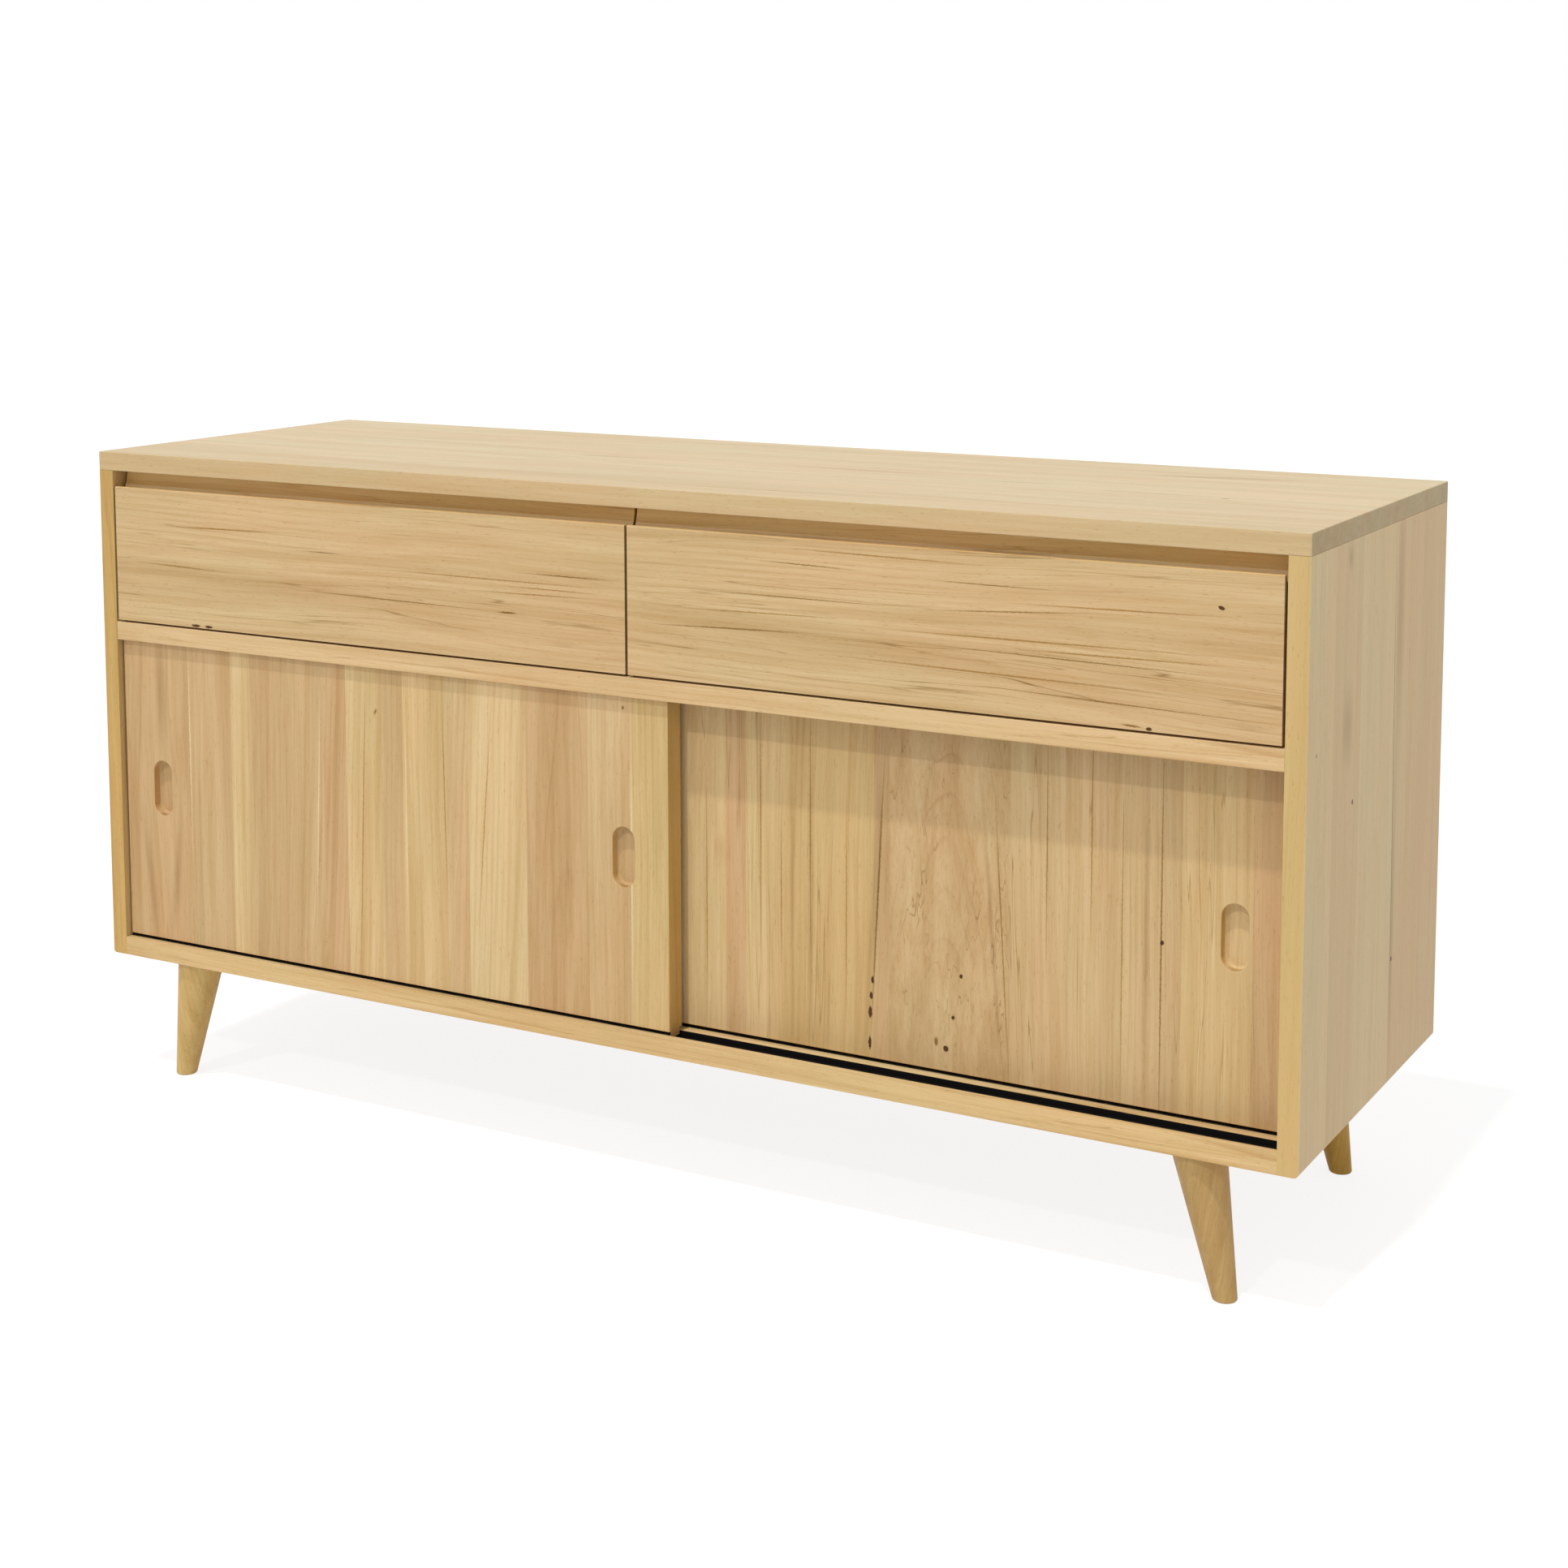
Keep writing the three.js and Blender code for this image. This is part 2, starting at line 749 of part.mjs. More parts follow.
const cabinet = new THREE.Group();
cabinet.add(
  topPanel(),
  bottomPanel(),
  ...sidePanels(),
  drawerDeck(),
  ...tracks(),
  drawerDivider(),
  lowerDivider(),
  backPanel(),
  ...legsAndBolts(),
  ...Object.keys(ends).flatMap((end) => [...shelfAndPins(end), ...rails(end), drawer(end)]),
  door("front_door", -doorMiddle, doorFaces.front_door),
  door("rear_door", doorMiddle, doorFaces.rear_door),
);

export default cabinet;
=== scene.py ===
# The looks of a low sideboard in solid pale eucalypt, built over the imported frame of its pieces.
# Lengths are in millimetres, and MM turns one into the frame's metres.
import math
import random

import bpy
from mathutils import Euler, Matrix, Vector


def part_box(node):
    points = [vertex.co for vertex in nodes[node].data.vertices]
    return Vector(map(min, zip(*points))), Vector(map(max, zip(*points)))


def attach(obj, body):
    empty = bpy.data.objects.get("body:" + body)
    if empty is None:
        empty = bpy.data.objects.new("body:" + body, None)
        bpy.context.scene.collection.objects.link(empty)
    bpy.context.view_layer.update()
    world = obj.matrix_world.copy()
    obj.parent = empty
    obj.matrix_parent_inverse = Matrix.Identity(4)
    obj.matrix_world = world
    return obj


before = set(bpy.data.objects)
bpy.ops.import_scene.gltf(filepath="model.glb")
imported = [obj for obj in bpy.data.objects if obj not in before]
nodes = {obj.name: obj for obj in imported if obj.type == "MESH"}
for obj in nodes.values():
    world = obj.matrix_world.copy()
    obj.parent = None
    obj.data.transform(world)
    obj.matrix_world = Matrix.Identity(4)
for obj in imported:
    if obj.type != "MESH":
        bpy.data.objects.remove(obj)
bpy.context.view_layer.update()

MM = 0.001

# Faces that meet at more than this angle have a sharp edge between them.
FOLD = math.radians(32)


# Camera, fitted to the corners of the cabinet in the photograph, with its turns in degrees

CAMERA_PLACE = (1475.1, -2510.6, 1087.6)
CAMERA_YAW = 28.961
CAMERA_PITCH = 6.263
CAMERA_ROLL = 0.041
CAMERA_LENS = 59.1
CAMERA_SHIFT = (-0.0121, -0.2050)


def place_camera():
    camera = bpy.data.objects.new("camera", bpy.data.cameras.new("camera"))
    bpy.context.scene.collection.objects.link(camera)
    camera.data.lens = CAMERA_LENS
    camera.data.shift_x, camera.data.shift_y = CAMERA_SHIFT
    camera.location = Vector(CAMERA_PLACE) * MM
    turns = (90 - CAMERA_PITCH, CAMERA_ROLL, CAMERA_YAW)
    camera.rotation_euler = Euler([math.radians(turn) for turn in turns])
    bpy.context.scene.camera = camera


# Nodes and materials

# The colour sockets of a Mix node
SHARE, UNDER, OVER, MIXED = 0, 6, 7, 2

# What a Math node or a Vector Math node works out
TIMES = {"operation": "MULTIPLY"}
TIMES_PLUS = {"operation": "MULTIPLY_ADD"}
MINUS = {"operation": "SUBTRACT"}
ABSOLUTE = {"operation": "ABSOLUTE"}


def linear(value):
    """An sRGB hex colour as linear red, green, blue and alpha, and any other value as it is."""
    if not (isinstance(value, str) and value.startswith("#")):
        return value
    channels = [int(value[i : i + 2], 16) / 255 for i in (1, 3, 5)]
    return [c / 12.92 if c <= 0.04045 else ((c + 0.055) / 1.055) ** 2.4 for c in channels] + [1]


def add(tree, kind, inputs=None, stops=(), **settings):
    """Adds a node with its settings, and with the stops of its colour ramp where it has one.

    An input is a value, a hex colour, another node or one of its outputs. A stop is a place from 0
    to 1 and a colour."""
    node = tree.nodes.new(kind)
    for name, value in settings.items():
        setattr(node, name, value)
    for key, value in (inputs or {}).items():
        if isinstance(value, bpy.types.Node):
            value = value.outputs[0]
        if isinstance(value, bpy.types.NodeSocket):
            tree.links.new(value, node.inputs[key])
        else:
            node.inputs[key].default_value = linear(value)
    for number, (place, colour) in enumerate(stops):
        ramp = node.color_ramp.elements
        stop = ramp[number] if number < len(ramp) else ramp.new(1)
        stop.position = place
        stop.color = linear(colour)
    return node


def layered(tree, colour, layers):
    """Lays layers over a colour; each is a way to blend, the share of it that shows, and its colour."""
    for blend, share, over in layers:
        inputs = {SHARE: share, UNDER: colour, OVER: over}
        colour = add(tree, "ShaderNodeMix", inputs, data_type="RGBA", blend_type=blend).outputs[MIXED]
    return colour


def new_group(name, inputs, outputs, kind="ShaderNodeTree"):
    """A group of nodes with the sockets it has, and what it is given at them."""
    tree = bpy.data.node_groups.new(name, kind)
    for side, sockets in (("INPUT", inputs), ("OUTPUT", outputs)):
        for socket, holds in sockets.items():
            tree.interface.new_socket(socket, in_out=side, socket_type=f"NodeSocket{holds}")
    return tree, add(tree, "NodeGroupInput").outputs


def new_material(name):
    material = bpy.data.materials.new(name)
    material.use_nodes = True
    material.node_tree.nodes.clear()
    return material, material.node_tree


def finish_surface(tree, inputs):
    """Ends a material with its surface."""
    shader = add(tree, "ShaderNodeBsdfPrincipled", inputs)
    add(tree, "ShaderNodeOutputMaterial", {"Surface": shader})


def dress(name, material):
    """Gives a node its finish."""
    nodes[name].data.materials.clear()
    nodes[name].data.materials.append(material)


# Hardwood

# The grain's sweep carries its other features aside by up to its reach. It and each feature are so
# wide across the grain and so long along it.
SWEEP = (90.0, 420.0)
SWEEP_REACH = 9.0
CLOUD = (60.0, 230.0)
BAND = (26.0, 520.0)
STREAK = (7.0, 380.0)
FIBRE = (1.8, 60.0)
PORE = (1.1, 9.0)
VEIN = (11.0, 520.0)
VEIN_PATCH = (34.0, 460.0)
RING_PATCH = (30.0, 300.0)

# From which value of its noise to which a feature fades in
CLOUD_FADE = (0.35, 0.65)
BAND_FADE = (0.36, 0.66)
STREAK_FADE = (0.42, 0.7)
FIBRE_FADE = (0.4, 0.75)
PORE_FADE = (0.64, 0.74)
VEIN_PATCH_FADE = (0.45, 0.68)
RING_PATCH_FADE = (0.38, 0.66)

# How strongly bands, streaks and fibres show in wood that has no contrast
BAND_USUAL = 0.47
STREAK_USUAL = 0.3
FIBRE_USUAL = 0.3

# The most that pores show, and the least that rings do between their patches
PORE_MOST = 0.35
RING_LEAST = 0.1

# A vein is a line where its noise is within this of its middle value.
VEIN_LINE = 0.014
NOISE_MIDDLE = 0.5

# Growth rings stand about this far apart, where a Wave texture of scale 1 has one every tau / 20.
# They waver, and ten times more slowly along the grain. Each darkens slowly up to its late wood and
# ends at once.
RING_PITCH = 7.5
RING_SCALE = math.tau / 20 / RING_PITCH
RING_WAVER = {"Distortion": 3.5, "Detail": 2, "Detail Scale": 0.4, "Detail Roughness": 0.5}
RING_DRAWN_OUT = 0.1
RING_DARKNESS = ((0.45, "#000000"), (0.84, "#898989"), (0.93, "#FFFFFF"), (1, "#000000"))

# How a board was sawn: how far the heart of its tree lies to the side of its middle and behind its
# face, and how fast the tree grows away from the face upwards
CUTS = {"quarter": (150, 20, 0.0), "rift": (70, 60, 0.01), "plain": (10, 60, 0.03), "arched": (0, 57, 0.16)}

# The most that the heart lies outside a panel and behind it, that the tree grows and that grain leans
HEART_MARGIN = 300.0
HEART_DEEPEST = 100.0
GROWTH_MOST = 0.2
LEAN_MOST = 0.25

# How far the figure of boards at opposite edges of a panel is shifted along the grain
BOARD_SHIFT = 9000.0

# Boards that a maker picks for a hidden panel: how wide they are, and how far their grain may lean
NARROWEST = 65
WIDEST = 115
PICKED_LEAN = 0.02

# Tints of the boards, as they show on the sanded face
TINTS = {
    "cream": "#E1C89B",
    "ivory": "#E3CAA3",
    "wheat": "#DEC394",
    "straw": "#D9BD92",
    "amber": "#D6BA87",
    "oat": "#D4B78C",
    "blush": "#D3B287",
    "rose": "#CFAF84",
    "bone": "#DCCAA9",
    "linen": "#D9C5A2",
    # Ash, fog and dusk are cooler and greyer: painted light, for the cooler light that falls on the right
    # side.
    "ash": "#DFCBA4",
    "fog": "#DBC49D",
    "dusk": "#DBC19A",
    "honey": "#DABC80",
    "olive": "#C3A671",
    "tawny": "#CAA756",
}

# What each feature multiplies the tint by
COOL_WOOD = "#FAFCF7"
WARM_WOOD = "#FDF8F2"
BAND_BROWN = "#F1EBE2"
STREAK_BROWN = "#F5F0E6"
FIBRE_BROWN = "#F7F2EA"
LATE_WOOD = "#D8C4A4"
VEIN_BROWN = "#B0A070"
PORE_BROWN = "#CDB58F"

# What end grain and sawn edges multiply the figure by: end grain drinks more oil, so it is greyer and
# darker, and sawn edges are yellower. Both fade out over these cosines of the surface's turn.
END_GRAIN = "#D9D5C8"
EDGE_GRAIN = "#FFFAF2"
WARM_EDGE = "#FAF0D4"
FACING_FADE = (0.8, 0.98)

# What each kind of mark does to the wood, with which colour, and how much of its reach is its core
MARK_KINDS = {
    "knot": ("MULTIPLY", "#6A4C2A", 0.6),
    "vein": ("MULTIPLY", "#ADA06E", 0.1),
    "thread": ("MULTIPLY", "#CAB888", 0.1),
    "fleck": ("MULTIPLY", "#A8925E", 0.3),
    "shade": ("MULTIPLY", "#E6E1DA", 0.0),
    # The grip light is painted light: it lightens and warms the drawers' grip strip, which lies in shade
    # under the top.
    "grip_light": ("SOFT_LIGHT", "#DCC8A8", 0.85),
    "pale": ("LIGHTEN", "#E2CA9C", 0.1),
}

# How deep marks go, how far their outlines wander, and in how many waves per millimetre
MARK_DEPTH = 40.0
RAGGED = Vector((1.6, 1.6, 1.6))
RAGGED_WAVES = 0.35

# The relief of open fibres and pores, and the sheen of matt oil
GRAIN_RELIEF = {"Strength": 0.25, "Distance": 0.15 * MM}
OILED = {"Roughness": 0.5, "IOR": 1.45, "Specular IOR Level": 0.3}


def hardwood_figure():
    """The quiet figure of sanded eucalypt: soft bands, streaks, faint rings and fine broken veins.

    The place is in millimetres from the heart of the tree: X and Y across the grain, Z along it."""
    inputs = {"Place": "Vector", "Tint": "Color", "Rings": "Float", "Veins": "Float", "Contrast": "Float"}
    tree, given = new_group("sanded_eucalypt_figure", inputs, {"Color": "Color", "Relief": "Float"})

    def grain_noise(place, feature, detail=2):
        """Noise whose waves are as wide across the grain and as long along it as a feature."""
        width, length = feature
        scale = (1 / width, 1 / width, 1 / length)
        stretched = add(tree, "ShaderNodeVectorMath", {0: place, 1: scale}, **TIMES)
        return add(tree, "ShaderNodeTexNoise", {"Vector": stretched, "Scale": 1, "Detail": detail})

    def shown(place, feature, fade, detail=2, least=0.0, most=1.0):
        """How strongly a feature shows at a place."""
        low, high = fade
        inputs = {"From Min": low, "From Max": high, "To Min": least, "To Max": most}
        return add(tree, "ShaderNodeMapRange", {0: grain_noise(place, feature, detail)} | inputs)

    def calmed(feature, fade, usual):
        """How strongly a feature shows, drawn to its usual share where wood has little contrast."""
        inputs = {0: given["Contrast"], 2: usual, 3: shown(swept, feature, fade)}
        return add(tree, "ShaderNodeMix", inputs)

    def in_patches(share, patches, strength):
        """A share that comes and goes in patches, at the strength that the board is given."""
        patchy = add(tree, "ShaderNodeMath", {0: share, 1: patches}, **TIMES)
        return add(tree, "ShaderNodeMath", {0: patchy, 1: given[strength]}, **TIMES)

    sweep = grain_noise(given["Place"], SWEEP, detail=1).outputs["Color"]
    centred = add(tree, "ShaderNodeVectorMath", {0: sweep, 1: [NOISE_MIDDLE] * 3}, **MINUS)
    aside = (2 * SWEEP_REACH, 2 * SWEEP_REACH, 0)
    swept = add(tree, "ShaderNodeVectorMath", {0: centred, 1: aside, 2: given["Place"]}, **TIMES_PLUS)

    drawn_out = add(tree, "ShaderNodeVectorMath", {0: swept, 1: (1, 1, RING_DRAWN_OUT)}, **TIMES)
    inputs = {"Vector": drawn_out, "Scale": RING_SCALE} | RING_WAVER
    settings = {"wave_type": "RINGS", "rings_direction": "Z", "wave_profile": "SAW"}
    rings = add(tree, "ShaderNodeTexWave", inputs, **settings).outputs["Fac"]
    late = add(tree, "ShaderNodeValToRGB", {0: rings}, stops=RING_DARKNESS)
    ring_patches = shown(given["Place"], RING_PATCH, RING_PATCH_FADE, least=RING_LEAST)

    above = add(tree, "ShaderNodeMath", {0: grain_noise(swept, VEIN), 1: NOISE_MIDDLE}, **MINUS)
    away = add(tree, "ShaderNodeMath", {0: above}, **ABSOLUTE)
    inputs = {0: away, "From Min": 0, "From Max": VEIN_LINE, "To Min": 1, "To Max": 0}
    veins = add(tree, "ShaderNodeMapRange", inputs)
    vein_patches = shown(given["Place"], VEIN_PATCH, VEIN_PATCH_FADE)

    clouds = shown(swept, CLOUD, CLOUD_FADE)
    pores = shown(swept, PORE, PORE_FADE, detail=1, most=PORE_MOST)
    layers = (
        (1.0, layered(tree, COOL_WOOD, [("MIX", clouds, WARM_WOOD)])),
        (calmed(BAND, BAND_FADE, BAND_USUAL), BAND_BROWN),
        (calmed(STREAK, STREAK_FADE, STREAK_USUAL), STREAK_BROWN),
        (calmed(FIBRE, FIBRE_FADE, FIBRE_USUAL), FIBRE_BROWN),
        (in_patches(late, ring_patches, "Rings"), LATE_WOOD),
        (in_patches(veins, vein_patches, "Veins"), VEIN_BROWN),
        (pores, PORE_BROWN),
    )
    colour = layered(tree, given["Tint"], [("MULTIPLY", share, over) for share, over in layers])
    relief = add(tree, "ShaderNodeMath", {0: grain_noise(swept, FIBRE), 1: pores}, **MINUS)
    add(tree, "NodeGroupOutput", {"Color": colour, "Relief": relief})
    return tree


def mark_shape():
    """How far a place lies inside a mark: 1 in its core, 0 past its reach, and soft between them."""
    inputs = {"Place": "Vector", "Centre": "Vector", "Turn": "Vector", "Reach": "Vector", "Core": "Float"}
    tree, given = new_group("mark_in_wood", inputs, {"Inside": "Float"})
    sockets = {"Vector": "Place", "Location": "Centre", "Rotation": "Turn", "Scale": "Reach"}
    inputs = {socket: given[name] for socket, name in sockets.items()}
    scaled = add(tree, "ShaderNodeMapping", inputs, vector_type="TEXTURE")
    length = add(tree, "ShaderNodeVectorMath", {0: scaled}, operation="LENGTH").outputs["Value"]
    inputs = {0: length, "From Min": given["Core"], "From Max": 1, "To Min": 1, "To Max": 0}
    inside = add(tree, "ShaderNodeMapRange", inputs, interpolation_type="SMOOTHSTEP")
    add(tree, "NodeGroupOutput", {"Inside": inside})
    return tree


FIGURE = hardwood_figure()
MARK = mark_shape()


def picked_boards(total, seed, tints=("straw", "wheat", "oat")):
    """Boards of mixed width that fill a panel, as a maker lays them out."""
    rng = random.Random(seed)
    boards = []
    left = total
    while left > 0:
        width = min(left, rng.uniform(NARROWEST, WIDEST))
        if left - width < NARROWEST / 2:
            width = left
        cut = rng.choice(("quarter", "rift", "plain"))
        boards.append((width, rng.choice(tints), cut, rng.uniform(-PICKED_LEAN, PICKED_LEAN)))
        left -= width
    return boards


def lay_boards(tree, seed, boards, share):
    """Two nodes that turn the share of a panel's width into a board's tint, and into how it was sawn.

    The second gives the place of the heart, its depth, the growth and the lean, as shares of the
    most that each may be."""
    rng = random.Random(seed)
    span = sum(board[0] for board in boards)
    tint_stops, cut_stops, reached = [], [], 0.0
    for width, tint, cut, lean in boards:
        aside, depth, growth = CUTS[cut]
        heart = reached + width / 2 + rng.choice((-1, 1)) * aside
        heart_share = (heart + HEART_MARGIN) / (span + 2 * HEART_MARGIN)
        cut_share = (heart_share, depth / HEART_DEEPEST, growth / GROWTH_MOST, 0.5 + lean / 2 / LEAN_MOST)
        tint_stops.append((reached / span, TINTS[tint]))
        cut_stops.append((reached / span, cut_share))
        reached += width
    tints = add(tree, "ShaderNodeValToRGB", {0: share}, stops=tint_stops)
    cuts = add(tree, "ShaderNodeValToRGB", {0: share}, stops=cut_stops)
    for ramp in (tints, cuts):
        ramp.color_ramp.interpolation = "CONSTANT"
    return tints, cuts


def mark_layers(tree, place, marks, face, across, along, through):
    """A layer of colour for each mark in a panel's face, with a ragged outline."""
    ripple = add(tree, "ShaderNodeTexNoise", {"Vector": place, "Scale": RAGGED_WAVES, "Detail": 2})
    inputs = {0: ripple.outputs["Color"], 1: RAGGED, 2: place}
    ragged = add(tree, "ShaderNodeVectorMath", inputs, **TIMES_PLUS)
    hand = through.cross(along).dot(across)
    layers = []
    for kind, beside, up, wide, long, *lean in marks:
        blend, over, core = MARK_KINDS[kind]
        inputs = {
            "Place": ragged,
            "Centre": across * beside + along * up + through * face + RAGGED * NOISE_MIDDLE,
            "Turn": through * hand * sum(lean),
            "Reach": across * wide + along * long + through * MARK_DEPTH,
            "Core": core,
        }
        layers.append((blend, add(tree, "ShaderNodeGroup", inputs, node_tree=MARK), over))
    return layers


def facing(tree, direction):
    """1 where the surface looks along a direction or against it, and 0 elsewhere."""
    normal = add(tree, "ShaderNodeNewGeometry").outputs["Normal"]
    cosine = add(tree, "ShaderNodeVectorMath", {0: normal, 1: direction}, operation="DOT_PRODUCT")
    size = add(tree, "ShaderNodeMath", {0: cosine.outputs["Value"]}, **ABSOLUTE)
    low, high = FACING_FADE
    return add(tree, "ShaderNodeMapRange", {0: size, "From Min": low, "From Max": high})


def hardwood(
    name,
    along,
    across,
    boards=None,
    low_face=False,
    marks=(),
    edge=EDGE_GRAIN,
    rings=0.4,
    veins=0.3,
    contrast=1.0,
):
    """Edge-glued eucalypt boards, sanded and rubbed with matt oil: warm straw with a low sheen.

    The grain runs along one axis, and the boards lie side by side across it, from its low end up.
    The show face is the panel's lower one on the third axis where low_face is true."""
    low, high = (dict(zip("XYZ", corner / MM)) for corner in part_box(name))
    through = ({"X", "Y", "Z"} - {along, across}).pop()
    face = (low if low_face else high)[through]
    behind = -1 if low_face else 1
    start = low[across]
    boards = boards or picked_boards(high[across] - start, name)
    span = sum(board[0] for board in boards)

    material, tree = new_material(f"{name}_eucalypt")
    where = add(tree, "ShaderNodeTexCoord").outputs["Object"]
    place = add(tree, "ShaderNodeVectorMath", {0: where, "Scale": 1 / MM}, operation="SCALE")
    at = add(tree, "ShaderNodeSeparateXYZ", {0: place}).outputs
    share = add(tree, "ShaderNodeMapRange", {0: at[across], "From Min": start, "From Max": start + span})
    tints, cuts = lay_boards(tree, material.name, boards, share)
    found = add(tree, "ShaderNodeSeparateColor", {0: cuts}).outputs

    # Across the grain from the heart, which leans with the board
    middle = (low[along] + high[along]) / 2
    climb = add(tree, "ShaderNodeMath", {0: at[along], 1: middle}, **MINUS)
    inputs = {0: cuts.outputs["Alpha"], 1: -2 * LEAN_MOST, 2: LEAN_MOST}
    leaning = add(tree, "ShaderNodeMath", inputs, **TIMES_PLUS)
    upright = add(tree, "ShaderNodeMath", {0: climb, 1: leaning, 2: at[across]}, **TIMES_PLUS)
    inputs = {0: found["Red"], 1: span + 2 * HEART_MARGIN, 2: start - HEART_MARGIN}
    heart = add(tree, "ShaderNodeMath", inputs, **TIMES_PLUS)
    from_heart = add(tree, "ShaderNodeMath", {0: upright, 1: heart}, **MINUS)

    # Behind the face down to the heart, which lies deeper where the tree has grown
    growth = add(tree, "ShaderNodeMath", {0: found["Blue"], 1: GROWTH_MOST}, **TIMES)
    grown = add(tree, "ShaderNodeMath", {0: growth, 1: climb, 2: behind * face}, **TIMES_PLUS)
    depth = add(tree, "ShaderNodeMath", {0: found["Green"], 1: HEART_DEEPEST, 2: grown}, **TIMES_PLUS)
    below = add(tree, "ShaderNodeMath", {0: at[through], 1: -behind, 2: depth}, **TIMES_PLUS)

    # Along the grain, from another place in each board
    run = add(tree, "ShaderNodeMath", {0: found["Red"], 1: BOARD_SHIFT, 2: climb}, **TIMES_PLUS)
    grain = add(tree, "ShaderNodeCombineXYZ", {"X": from_heart, "Y": below, "Z": run})
    inputs = {"Place": grain, "Tint": tints, "Rings": rings, "Veins": veins, "Contrast": contrast}
    figure = add(tree, "ShaderNodeGroup", inputs, node_tree=FIGURE).outputs

    axis = {letter: Vector([float(letter == other) for other in "XYZ"]) for letter in "XYZ"}
    layers = [("MULTIPLY", facing(tree, axis[along]), END_GRAIN)]
    layers.append(("MULTIPLY", facing(tree, axis[across]), edge))
    if marks:
        layers += mark_layers(tree, place, marks, face, axis[across], axis[along], axis[through])
    colour = layered(tree, figure["Color"], layers)
    bump = add(tree, "ShaderNodeBump", {"Height": figure["Relief"]} | GRAIN_RELIEF)
    finish_surface(tree, {"Base Color": colour, "Normal": bump} | OILED)
    dress(name, material)


# Boards of the visible panels, from left to right, from front to back or from the bottom up. Each
# is its width, its tint, the way it was sawn, and how far its grain leans. A mark is a kind, a
# place across and along the grain, its reach both ways, and sometimes how far it leans.

FRONT_DOOR = (
    (100, "blush", "plain", 0),
    (64, "oat", "quarter", 0),
    (30, "cream", "quarter", 0),
    (108, "oat", "rift", 0.03),
    (35, "blush", "quarter", 0.05),
    (52, "wheat", "quarter", 0.05),
    (28, "straw", "quarter", 0),
    (60, "wheat", "rift", 0),
    (30, "straw", "quarter", 0.05),
    (80, "cream", "quarter", 0.05),
    (82, "blush", "plain", 0),
    (56, "straw", "quarter", 0),
    (47, "amber", "quarter", 0),
)
FRONT_DOOR_MARKS = (
    ("vein", -345, 487, 2.6, 6, 0.4),
    ("fleck", -10, 525, 2.4, 3.2),
    ("shade", -668, 480, 12, 110),
    ("shade", -650, 250, 9, 110, 0.1),
    ("shade", -692, 250, 9, 110, -0.1),
    ("pale", -624, 420, 1.6, 190),
    ("pale", -430, 370, 1.4, 200, 0.04),
    ("pale", -303, 360, 1.6, 210),
    ("pale", 0, 360, 1.8, 210),
    ("thread", -365, 360, 1.4, 210, 0.04),
    ("thread", -194, 380, 1.2, 160, 0.08),
    ("thread", -249, 400, 1.4, 160, -0.02),
)
REAR_DOOR = (
    # The first board's pale cream is partly painted light: it lifts the shade that the front door casts on
    # this end.
    (142, "cream", "rift", 0),
    (24, "blush", "quarter", 0),
    (49, "wheat", "quarter", 0),
    (107, "amber", "quarter", 0.02),
    (18, "rose", "quarter", 0.04),
    (135, "oat", "arched", 0),
    (60, "straw", "quarter", -0.02),
    (75, "straw", "quarter", 0),
    (50, "oat", "quarter", 0),
    (70, "wheat", "rift", 0),
    (42, "blush", "quarter", 0),
)
REAR_DOOR_MARKS = (
    ("knot", 275, 259, 2.0, 5),
    ("knot", 273.5, 242, 2.4, 5),
    ("knot", 272.5, 224, 2.6, 8),
    ("knot", 272, 191, 2.0, 9),
    ("vein", 281, 350, 1.8, 200, 0.05),
    ("knot", 377, 278, 2.4, 3),
    ("knot", 368, 233, 2.2, 2.6),
    ("knot", 360, 199, 3.8, 4.2),
    ("fleck", 349, 205, 3, 7),
    ("knot", 594, 345, 2.6, 3.2),
    ("vein", 593, 345, 1.4, 300),
    ("thread", 471, 420, 1.2, 160),
    ("thread", 519, 440, 1.2, 140),
    ("thread", 552, 330, 1.1, 200),
    ("thread", 244, 330, 1.1, 150),
    ("thread", 201, 420, 1.2, 170),
    ("thread", 166, 340, 1.0, 120),
    ("thread", 141, 420, 1.4, 190),
    ("thread", 74, 330, 1.0, 160),
    ("shade", 201, 330, 6, 260),
    ("shade", 179, 360, 4, 240),
    ("shade", 276, 330, 7, 240, 0.05),
    ("shade", 411, 330, 4, 180, -0.08),
    ("thread", 422, 330, 1.4, 190, -0.06),
    ("shade", 577, 360, 5, 260),
)
LEFT_DRAWER = ((92, "straw", "quarter", 0.004), (86, "straw", "quarter", -0.01))
LEFT_DRAWER_MARKS = (
    # Painted light: a warm lightening along the grip strip under the top, which lies in shade.
    ("grip_light", 733, -370, 10, 4000),
    ("knot", 565.5, -603, 2.2, 8),
    ("knot", 565.5, -583, 2.0, 7),
    ("vein", 663, -75, 1.2, 80),
    ("vein", 619, -310, 1.2, 170, -0.01),
    ("fleck", 617.5, -154, 1.6, 17),
    ("thread", 653, -180, 1.2, 190),
    ("thread", 640, -120, 1.2, 110, 0.015),
    ("thread", 683, -560, 1.6, 120, 0.02),
    ("thread", 634, -620, 1.6, 90, -0.02),
    ("thread", 647, -100, 1.0, 90),
    ("vein", 666, -410, 0.9, 40),
)
RIGHT_DRAWER = ((84, "straw", "quarter", -0.02), (94, "straw", "quarter", 0.015))
